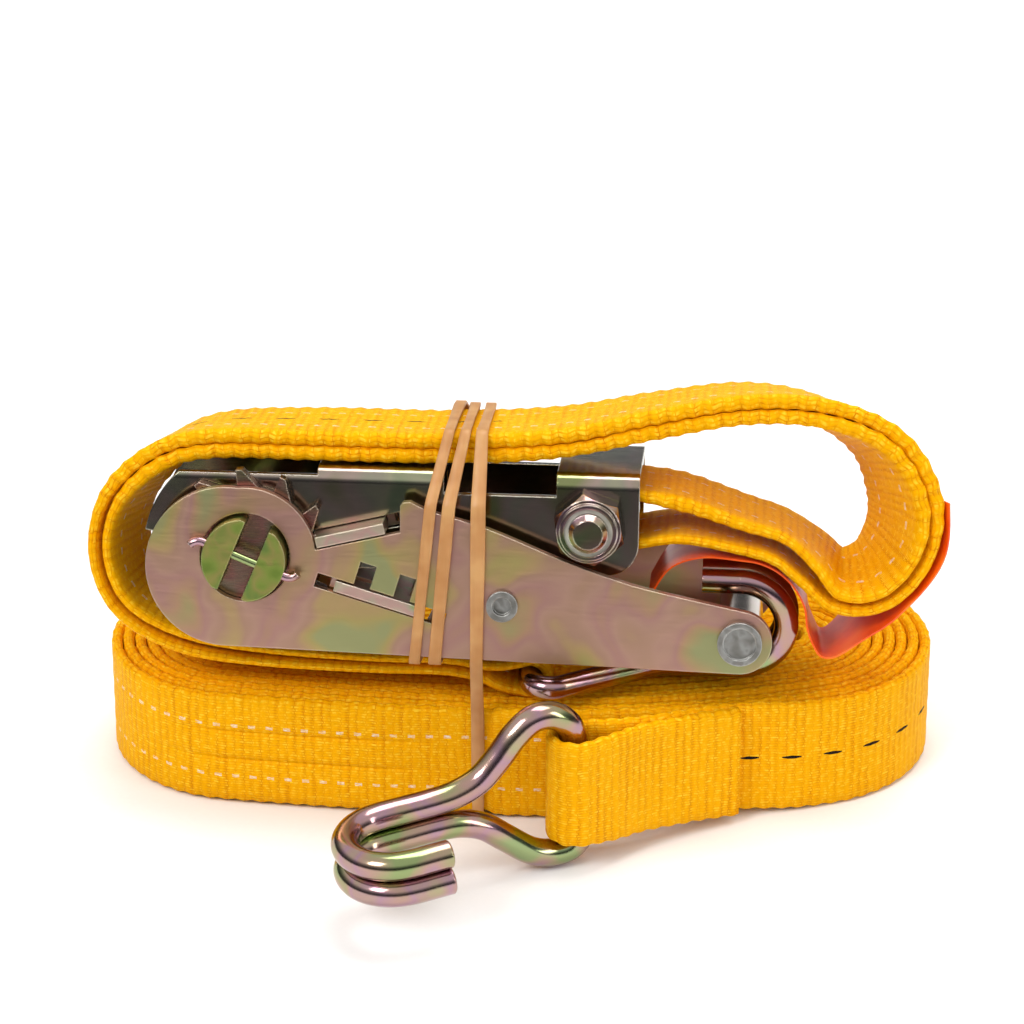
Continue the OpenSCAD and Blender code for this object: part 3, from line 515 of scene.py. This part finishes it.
# short strap: two plies round the closed ratchet, an eye at the anchor bolt and one at the rear hook
strapShape = {"handle": 100.3, "bolt": (69.4, 7.6), "boltEye": 6.85, "hookAt": (57.5, -24.03), "hookEye": 3.69,
              "thick": 2.9, "scallop": 0.3, "pressed": 1.95, "pressedScallop": 0.06, "ply": 1.2, "spacing": 0.6}
handleLength = strapShape["handle"]
boltU, boltW = strapShape["bolt"]
hookU, hookW = strapShape["hookAt"]
ply = strapShape["ply"]
loopStops = smoothCurve([  # u, w, half gap between the plies, half width, twist in degrees
    [boltU, boltW, strapShape["boltEye"], half, 0], [boltU + 8.6, 7.8, strapShape["boltEye"] - 1.6, half, 0],
    [boltU + 18.6, 7.6, 3.6, half, 0], [handleLength - 0.3, 4.8, 2.6, half, 0],
    [handleLength + 7.7, 2.4, 2.5, half, 0],
    [handleLength + 14.2, -2, 2.2, half, 4], [handleLength + 20, -6.4, 1.58, half, 9],
    [handleLength + 27.4, -4.4, 1.56, half, 17], [handleLength + 32.2, 3.4, 1.56, half, 24],
    [handleLength + 32.4, 12.8, 1.56, half, 25], [handleLength + 27, 22.6, 1.56, half, 20],
    [handleLength + 15.2, 28.8, 1.56, half, 11], [handleLength - 0.3, 30.2, 1.56, half, 5],
    [handleLength - 19.3, 27, 1.56, half, 2], [63, 23.2, 1.53, half, 0], [40, 21.5, 1.53, half, 0],
    [12, 21.3, 1.53, half, 0], [-8, 20.5, 1.53, half, 3], [-18.9, 16.3, 1.56, half, 8],
    [-26.9, 7.6, 1.58, half, 11], [-29, -3, 1.58, half, 11], [-25.2, -13.4, 1.56, half, 7],
    [-14, -20.4, 1.6, half, 2], [2, -23.1, ply + 0.2, half, 0], [24, -24, ply, half, 0],
    [hookU - 17.5, -24, ply, half, 0], [hookU - 10, hookW + 0.2, ply + 0.3, half, 7],
    [hookU - 5.5, hookW + 0.1, 2.5, half - 0.2, ratchet["tilt"]],
    [hookU, hookW, strapShape["hookEye"], half - 0.7, ratchet["tilt"]]], 24)
loopDir = headings(loopStops[:, :2])


def plyRing(i, side, sweep=None):
    u, w, gap, plyHalf, twist = loopStops[i]
    d = loopDir[i]
    c, s = math.cos(math.radians(twist)), math.sin(math.radians(twist))
    if sweep is None:
        n = np.array([-d[1], d[0]])
        acrossPly = [n[0] * s, c, n[1] * s]
        out = np.array([n[0] * c, -s, n[1] * c]) * side
    else:
        d = d * side
        k, m = math.cos(math.radians(sweep)), math.sin(math.radians(sweep))
        e = np.array([d[0] * k - d[1] * m, d[0] * m + d[1] * k])
        acrossPly = [0, c, s]
        out = np.array([e[0], -e[1] * s, e[1] * c])
    return [u + out[0] * gap, out[1] * gap, w + out[2] * gap, *acrossPly, *out, plyHalf]


lastStop = len(loopStops) - 1
rings = [plyRing(i, 1) for i in range(lastStop + 1)]
eyeSweep = range(80, -81, -8)
rings += [plyRing(lastStop, 1, a) for a in eyeSweep]
rings += [plyRing(i, -1) for i in range(lastStop, -1, -1)]
rings += [plyRing(0, -1, a) for a in eyeSweep]
rings = np.array(rings)
loopLengths = runLength(rings[:, :3])
loopTotal = loopLengths[-1] + np.linalg.norm(rings[0, :3] - rings[-1, :3])
loopWanted = np.linspace(0, loopLengths[-1], int(loopTotal / strapShape["spacing"]))
loopRings = resample(rings, loopLengths, loopWanted)
loopCentre = liftPoints(loopRings[:, :3])
loopAcross = unit(liftVectors(loopRings[:, 3:6]))
loopOut = unit(liftVectors(loopRings[:, 6:9]))
outerPly = loopWanted > loopLengths[-1] / 2
blackLoop = (outerPly & (loopRings[:, 0] < 50) & (loopRings[:, 2] > 8)).astype(float)
whiteLoop = np.ones(len(loopWanted))
fromBolt = np.hypot(loopRings[:, 0] - boltU, loopRings[:, 2] - boltW)
# the strap is flat where it is pressed and puffed on its upper run
puffed = np.clip((loopRings[:, 2] - 4) / 8, 0, 1) * np.clip((fromBolt - 9) / 8, 0, 1)
plyThick = strapShape["pressed"] + (strapShape["thick"] - strapShape["pressed"]) * puffed
plyScallop = strapShape["pressedScallop"] + (strapShape["scallop"] - strapShape["pressedScallop"]) * puffed
shortStrap = weaveStrap("short_strap_webbing", loopCentre, loopAcross, loopOut, loopRings[:, 9] - 0.15, loopWanted,
                        True, blackLoop, whiteLoop, plyThick, plyScallop)
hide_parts("short_strap")
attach(shortStrap, "bundle")
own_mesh(shortStrap)  # the strap gets its own copy of the mesh data
print("short strap woven:", round(loopTotal), "mm")

# rubber band: natural rubber, cut from a tube, in three turns
band = {"x": roll["bandX"], "wide": 3.0, "thick": 0.8, "gap": 0.45, "corner": 1.0, "plateOut": 21.3, "hump": 12.2,
        "tan": "#C08A52", "deep": "#B47C44", "pale": "#CC9A60"}
bandOff = band["gap"] + band["thick"] / 2
sideV, edgeV = band["plateOut"] + bandOff, half + bandOff + 0.35
# over the strap's upper run, under the handle and at the hump of its plates
strapTop, lowW, humpW = 22.1 + 1.7 + 1.0 + bandOff, -20 - bandOff, band["hump"]
rollFront = -(radius - roll["pitch"] + 1.0 + bandOff)
rollRear = radius - roll["pitch"] / 2 + 1.0 + bandOff
bandLow = 0.1 + band["thick"] / 2


def onRatchet(x, v, w):
    p = liftPoints(np.array([0.0, v, w]))
    return [x, p[1], p[2]]


def frontRun(x0, x1):
    return [onRatchet(x0, half - 2, strapTop), onRatchet(x0, -edgeV, strapTop),
            onRatchet((x0 + x1) / 2, -sideV, humpW), onRatchet(x1, -sideV, lowW)]


def rearRun(x0, x1, up):
    return [onRatchet(x0, sideV + up, humpW), onRatchet(x1, edgeV + up, strapTop)]


x = band["x"]
bandStops = np.array(
    frontRun(x - 6.6, x - 12.6) + [onRatchet(x - 11, sideV, lowW)] + rearRun(x - 7, x - 3.4, 0)
    + frontRun(x - 3.3, x - 8.5) + [onRatchet(x - 6.6, sideV, lowW)] + rearRun(x - 3, x - 0.1, 0)
    + frontRun(x, x)
    + [[x, rollFront + rowShift, 23], [x, rollFront + rowShift, bandLow],
       [x, rollRear + rowShift, bandLow], [x, rollRear + rowShift, 26]]
    + rearRun(x - 1.5, x - 6.5, band["thick"] + 0.5))
bandLine = []
for i in range(len(bandStops)):  # each corner becomes a small arc
    a, b, c = bandStops[i - 1], bandStops[i], bandStops[(i + 1) % len(bandStops)]
    reach = min(band["corner"], np.linalg.norm(a - b) * 0.35, np.linalg.norm(c - b) * 0.35)
    f, g = b + unit(a - b) * reach, b + unit(c - b) * reach
    for t in np.linspace(0, 1, 7):
        bandLine.append((1 - t) ** 2 * f + 2 * t * (1 - t) * b + t * t * g)
    straight = np.linalg.norm(c - b)
    if straight > 6:
        following = bandStops[(i + 2) % len(bandStops)]
        reachNext = min(band["corner"], straight * 0.35, np.linalg.norm(following - c) * 0.35)
        h = c + unit(b - c) * reachNext
        for t in np.linspace(0, 1, int(straight / 3) + 2)[1:-1]:
            bandLine.append(g + (h - g) * t)
bandLine = np.array(bandLine)
bandDir = headings(bandLine, closed=True)
wideDir = unit(np.array([1.0, 0, 0]) - bandDir[:, :1] * bandDir)
thickDir = np.cross(bandDir, wideDir)
bandRun = runLength(bandLine)
narrow = 0.95 - 0.24 * (0.5 + 0.5 * np.sin(bandRun / 23.0)) - 0.08 * np.sin(bandRun / 9.0)
bandProfile = [(-1, -0.55), (-0.9, -1), (0, -1), (0.9, -1), (1, -0.55),
               (1, 0.55), (0.9, 1), (0, 1), (-0.9, 1), (-1, 0.55)]
bandPoints = np.array([[p + wd * a * band["wide"] / 2 * n + td * b * band["thick"] / 2 for a, b in bandProfile]
                       for p, wd, td, n in zip(bandLine, wideDir, thickDir, narrow)])
ringSize = len(bandProfile)
bandFaces = [[i * ringSize + j, ((i + 1) % len(bandLine)) * ringSize + j,
              ((i + 1) % len(bandLine)) * ringSize + (j + 1) % ringSize, i * ringSize + (j + 1) % ringSize]
             for i in range(len(bandLine)) for j in range(ringSize)]
# natural rubber: waxy, slightly see-through, paler where it is stretched, dusted with talc
naturalRubber, tree, shader = newMaterial("natural_rubber_band")
place = objectPlace(tree)
talc = addNoise(tree, place, 1 / 0.006, 2.0, Roughness=0.5)
streak = addNoise(tree, stretched(tree, place, (1 / 0.0006, 1 / 0.012, 1 / 0.012)), 1.0, 2.0)
dusted = addNode(tree, "ShaderNodeMix", {0: 0.15}, {2: talc, 3: streak}).outputs[0]
rubberTone = addRamp(tree, dusted, [(0.33, band["deep"]), (0.5, band["tan"]), (0.68, band["pale"])])
tree.links.new(rubberTone, shader.inputs["Base Color"])
addBump(tree, shader, streak, 0.1, 0.0001)
setInputs(shader, {"Roughness": 0.42, "Subsurface Weight": 0.3, "Subsurface Radius": (0.0015, 0.0008, 0.0004)})
rubberBand = addPiece("rubber_band_loop", bandPoints.reshape(-1, 3), bandFaces, naturalRubber)
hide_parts("rubber_band")
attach(rubberBand, "bundle")
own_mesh(rubberBand)
print("rubber band laid:", round(bandRun[-1]), "mm")

# tag: bare vinyl strip that curls round the strap loop and the hook
hookShape = {"reach": 42.5, "bend": 9.7, "wire": 2.5}  # bend of both hooks, wire radius of the solids, mm
tag = {"half": 11.0, "thick": 0.35, "clear": 1.75, "face": "#F25A00", "deep": "#E24600", "bloom": "#FA7414"}
hookMid = (hookU + hookShape["reach"], hookW + hookShape["bend"] / math.cos(math.radians(ratchet["tilt"])))
tagRadius = hookShape["bend"] + hookShape["wire"] + tag["clear"]
roundHook = [[hookMid[0] + tagRadius * math.cos(math.radians(a)), hookMid[1] + tagRadius * math.sin(math.radians(a)), 0]
             for a in range(0, 91, 18)]
# u, w, twist in degrees
tagStops = ([[handleLength + 36.8, 12.8, 25], [handleLength + 36.4, 2.1, 24], [handleLength + 29.8, -8.6, 17],
             [handleLength + 24.2, -14.6, 9], [handleLength + 19.4, -19, 4], [handleLength + 16.6, -19.8, 0],
             [handleLength + 15.1, -17.8, 0]]
            + roundHook
            + [[hookMid[0] - 8, 0.2, 0], [hookMid[0] - 14.5, -2.4, 0], [hookMid[0] - 18.6, -9, 0]])
tagLine = smoothCurve(tagStops, 10)
tagDir = headings(tagLine[:, :2])
lean = np.radians(tagLine[:, 2])
tagOut = np.stack([-tagDir[:, 1] * np.cos(lean), np.sin(lean), tagDir[:, 0] * np.cos(lean)], 1)
tagAcross = np.stack([tagDir[:, 1] * np.sin(lean), np.cos(lean), -tagDir[:, 0] * np.sin(lean)], 1)
columns = np.linspace(-1, 1, 13)
tagPoints = []
for p, out, wideways in zip(tagLine, tagOut, tagAcross):
    for sign in (1, -1):
        for a in columns:
            middle = np.array([p[0], 0, p[1]])
            tagPoints.append(middle + wideways * a * tag["half"] + out * sign * tag["thick"] / 2)
tagPoints = liftPoints(np.array(tagPoints))
wideCount, tagCount = len(columns), len(tagLine)
tagFaces = []
for i in range(tagCount - 1):
    here, there = i * 2 * wideCount, (i + 1) * 2 * wideCount
    for j in range(wideCount - 1):
        tagFaces.append([here + j, here + j + 1, there + j + 1, there + j])
        k = j + wideCount
        tagFaces.append([here + k, there + k, there + k + 1, here + k + 1])
    for j in (0, wideCount - 1):
        tagFaces.append([here + j, there + j, there + wideCount + j, here + wideCount + j])
for base in (0, (tagCount - 1) * 2 * wideCount):
    for j in range(wideCount - 1):
        tagFaces.append([base + j, base + j + 1, base + wideCount + j + 1, base + wideCount + j])
# calendered vinyl film: smooth, faintly mottled, lets a little light through
vinylFilm, tree, shader = newMaterial("calendered_vinyl_film")
place = objectPlace(tree)
vinylTone = addRamp(tree, addNoise(tree, place, 1 / 0.007, 4.0),
                    [(0.3, tag["deep"]), (0.5, tag["face"]), (0.72, tag["bloom"])])
tree.links.new(vinylTone, shader.inputs["Base Color"])
addBump(tree, shader, addNoise(tree, place, 1 / 0.0009, 2.0), 0.12, 0.0001)
setInputs(shader, {"Roughness": 0.38, "Subsurface Weight": 0.1, "Subsurface Radius": (0.0015, 0.0004, 0.0001)})
strapTag = addPiece("strap_tag_film", tagPoints, tagFaces, vinylFilm)
faceOutward(strapTag)
strapTag.data.set_sharp_from_angle(angle=math.radians(50))
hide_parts("strap_tag")
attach(strapTag, "bundle")
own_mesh(strapTag)


# yellow-passivated zinc: an interference film over the plating, mauve to olive to green in soft patches
def passivatedZinc(name, tones, patchSize, roughness, brush, edgeGlintTone):
    material, tree, shader = newMaterial(name)
    place = objectPlace(tree)
    film = addNoise(tree, place, 1 / (patchSize * mm), 1.6, Roughness=0.5, Distortion=0.3)
    stops = [float(at) for at in np.linspace(0.32, 0.70, len(tones))]
    filmTone = addRamp(tree, film, list(zip(stops, tones)))
    # painted highlight: the rounded edges are painted in a pale tone where the bevelled normal turns away from the face
    # normal
    rounded = addNode(tree, "ShaderNodeBevel", {"Radius": 0.0004}, samples=4).outputs[0]
    faceNormal = addNode(tree, "ShaderNodeNewGeometry").outputs["Normal"]
    flatness = addNode(tree, "ShaderNodeVectorMath", links={0: rounded, 1: faceNormal}, operation="DOT_PRODUCT")
    edgeGlint = remap(tree, flatness.outputs["Value"], 0.97, 0.80, 0.0, 0.7)
    tree.links.new(mixTones(tree, edgeGlint, filmTone, edgeGlintTone), shader.inputs["Base Color"])
    # roll marks and scuffs, about 6 mm long and 0.4 mm wide
    scuff = addNoise(tree, stretched(tree, place, (1 / 0.006, 1 / 0.0004, 1 / 0.0004)), 1.0, 3.0, Roughness=0.6)
    rough = remap(tree, scuff, 0.25, 0.75, roughness * 0.85, roughness * 1.2)
    tree.links.new(rough, shader.inputs["Roughness"])
    dents = addNoise(tree, place, 1 / 0.005, 2.0)
    addBump(tree, shader, addMath(tree, "MULTIPLY_ADD", scuff, 0.12, dents), brush, 0.00012, Normal=rounded)
    setInputs(shader, {"Metallic": 1.0})
    return material


# the last colour of each finish is its painted edge highlight
sheetZinc = passivatedZinc("yellow_passivated_zinc_sheet",
                           ["#AEAE7C", "#BEA87A", "#C8A080", "#C4968A", "#CAA08C", "#C49C84", "#CAAA7A", "#C2B072",
                            "#B0B07C"],
                           17.0, 0.36, 0.12, "#D8CDB8")
pawlZinc = passivatedZinc("passivated_zinc_pawl_plate",
                          ["#B8C088", "#D0C0A8", "#DCB4A8", "#D8C4AC", "#C8C0A0"], 7.0, 0.36, 0.08, "#F0E8D6")
frameZinc = passivatedZinc("passivated_zinc_bent_channel",
                           ["#82885C", "#948A74", "#A29086", "#969280", "#9C9A80", "#828E70"],
                           16.0, 0.14, 0.10, "#DED8C6")
spoolSteel = passivatedZinc("sawn_passivated_spool_bar",
                            ["#7E9443", "#8FA04E", "#A59C5A", "#8C9A50", "#6F9250"],
                            5.0, 0.40, 0.45, "#C9C49A")
wheelZinc = passivatedZinc("stamped_wheel_zinc",
                           ["#8C715C", "#A07068", "#94806C", "#7F7A58"], 6.0, 0.26, 0.10, "#D8CDB8")
hookWire = passivatedZinc("drawn_wire_bright_passivated",
                          ["#8C9A68", "#A09474", "#AC8C80", "#A68490", "#A88C84", "#A4987A", "#8E9E70"],
                          11.0, 0.15, 0.10, "#EFE6D6")
rivetZinc = passivatedZinc("bright_zinc_rivet",
                           ["#84827C", "#979590", "#A9A8A4", "#918F8A"], 2.5, 0.40, 0.35, "#D4D4D0")
springWire = passivatedZinc("spring_wire", ["#84867F", "#A19F96", "#9A9286"], 4.0, 0.24, 0.1, "#D0CEC6")

# nylon locking ring of the nut: moulded, slightly dirty
nylonRing, tree, shader = newMaterial("moulded_nylon")
dirt = addNoise(tree, objectPlace(tree), 1 / 0.002, 3.0)
tree.links.new(mixTones(tree, dirt, "#8F8C80", "#C9C6BA"), shader.inputs["Base Color"])
setInputs(shader, {"Roughness": 0.5})


def sweepWire(name, path, radius, material, sides):
    # round wire along path, its two cut ends deburred
    steps = np.diff(path, axis=0)
    run = unit(np.vstack([steps[:1], steps[:-1] + steps[1:], steps[-1:]]))
    normal = unit(np.cross(run[0], [0.31, 0.52, 0.79]))  # any direction that no wire starts along
    rings, turn = [], np.linspace(0, 2 * np.pi, sides, endpoint=False)
    size = np.full(len(path), radius)
    size[0] = size[-1] = radius * 0.9
    for i, at in enumerate(path):
        normal = unit(normal - run[i] * np.dot(normal, run[i]))
        binormal = np.cross(run[i], normal)
        rings.append(at + size[i] * (np.cos(turn)[:, None] * normal + np.sin(turn)[:, None] * binormal))
    faces = [[i * sides + j, i * sides + (j + 1) % sides, (i + 1) * sides + (j + 1) % sides, (i + 1) * sides + j]
             for i in range(len(path) - 1) for j in range(sides)]
    faces.append(list(range(sides))[::-1])
    faces.append(list(range((len(path) - 1) * sides, len(path) * sides)))
    return addPiece(name, np.concatenate(rings), faces, material)


def deburr(path, back):
    # a ring just behind each end, where the chamfer starts
    first, last = unit(path[1] - path[0]), unit(path[-2] - path[-1])
    return np.vstack([path[:1], path[:1] + first * back, path[1:-1], path[-1:] + last * back, path[-1:]])


# front hook: one bent wire, with both legs swinging out to the bar in the strap eye
frontHook = {"wire": 2.85, "side": 2.98, "tip": 8.0, "turn": 26.0, "droop": 4.0, "rise": 1.3,
             "upper": [(0, 4), (0, 9), (0.9, 12.6), (4.0, 15.5), (8.2, 15.9), (12.2, 13.4), (16.2, 9.2), (20.5, 5.4),
                       (25.5, 3.5)],
             "lower": [(0, 5), (0, 12.2), (0.4, 14.1), (2.7, 15.8), (6.5, 15.9), (11, 14), (16, 9.6), (20.5, 5.6),
                       (25.5, 3.5)]}


def hookLeg(stops, sign):
    reach, bend, level = hookShape["reach"], hookShape["bend"], sign * frontHook["side"]
    leg = [(x, 0.0, sign * h) for x, h in stops] + [(31, 0, level), (37, 0, level)]
    leg += [(reach + bend * math.sin(a), bend * (1 - math.cos(a)), level) for a in np.linspace(0, math.pi, 9)]
    return leg + [(reach - frontHook["tip"] * 0.5, 2 * bend, level), (reach - frontHook["tip"], 2 * bend, level)]


hookLine = smoothCurve(hookLeg(frontHook["lower"], -1)[::-1] + [(0, 0, 0)] + hookLeg(frontHook["upper"], 1), 7)
droop, hookTurn = math.radians(frontHook["droop"]), math.radians(180 + frontHook["turn"])
outX = hookLine[:, 0] * math.cos(droop) + hookLine[:, 2] * math.sin(droop)
outZ = -hookLine[:, 0] * math.sin(droop) + hookLine[:, 2] * math.cos(droop)
outY = hookLine[:, 1]
hookPath = np.column_stack([hookX + outX * math.cos(hookTurn) - outY * math.sin(hookTurn),
                            hookY + rowShift + outX * math.sin(hookTurn) + outY * math.cos(hookTurn),
                            roll["hookBarZ"] + frontHook["rise"] + outZ])
hookPiece = sweepWire("front_hook_wire", deburr(hookPath, 0.3), frontHook["wire"], hookWire, 28)
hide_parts("long_strap_hook")
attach(hookPiece, "front_hook")

# pawl springs: one coil for each pawl, swept from its seat to its pawl
springs = {"drive_spring": {"lean": -16.3, "from": 34.3, "to": 47.1, "seat": "bundle", "pawl": "drive_pawl"},
           "lock_spring": {"lean": 13.7, "from": 24.3, "to": 37.5, "seat": "frame", "pawl": "lock_pawl"}}
coil = {"radius": 3.3, "wire": 0.45, "curls": 6.5, "stepsPerCurl": 26, "closed": 1.25, "closedPitch": 0.35}
for name, spring in springs.items():
    lean = math.radians(spring["lean"])
    part = np.linspace(0, 1, int(coil["curls"] * coil["stepsPerCurl"]) + 1)
    flatEnd = coil["closed"] / coil["curls"]  # closed coils at both ends
    pitchRate = np.where((part < flatEnd) | (part > 1 - flatEnd), coil["closedPitch"], 1.0)
    advance = np.concatenate([[0], np.cumsum((pitchRate[1:] + pitchRate[:-1]) / 2)])
    low, high = spring["from"] + coil["wire"], spring["to"] - coil["wire"]
    alongAxis = low + (high - low) * advance / advance[-1]
    angle = 2 * np.pi * coil["curls"] * part
    outU, outV = coil["radius"] * np.cos(angle), coil["radius"] * np.sin(angle)
    local = np.column_stack([alongAxis * math.cos(lean) - outU * math.sin(lean), outV,
                             alongAxis * math.sin(lean) + outU * math.cos(lean)])
    coilPiece = sweepWire(name + "_coil", deburr(liftPoints(local), 0.08), coil["wire"], springWire, 10)
    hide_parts(name)
    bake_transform(coilPiece)
print("wire pieces swept:", 1 + len(springs))

finishes = {
    "handle_plate_front": sheetZinc, "handle_plate_rear": sheetZinc, "frame_channel": frameZinc,
    "ratchet_wheel_front": wheelZinc, "ratchet_wheel_rear": wheelZinc, "spool_half_left": spoolSteel,
    "spool_half_right": spoolSteel, "spool_clip_front": hookWire, "spool_clip_rear": hookWire,
    "drive_pawl": pawlZinc, "lock_pawl": pawlZinc,
    "spring_bridge": frameZinc, "spacer_sleeve": frameZinc, "spacer_rivet": rivetZinc, "grip_tube": frameZinc,
    "grip_rivet": rivetZinc, "anchor_bolt": hookWire, "anchor_nut": hookWire, "nut_insert": nylonRing,
    "anchor_sleeve": frameZinc, "short_strap_hook": hookWire,
}
for name, material in finishes.items():
    data = nodes[name].data
    data.materials.clear()
    data.materials.append(material)
print("finishes set:", len(finishes))
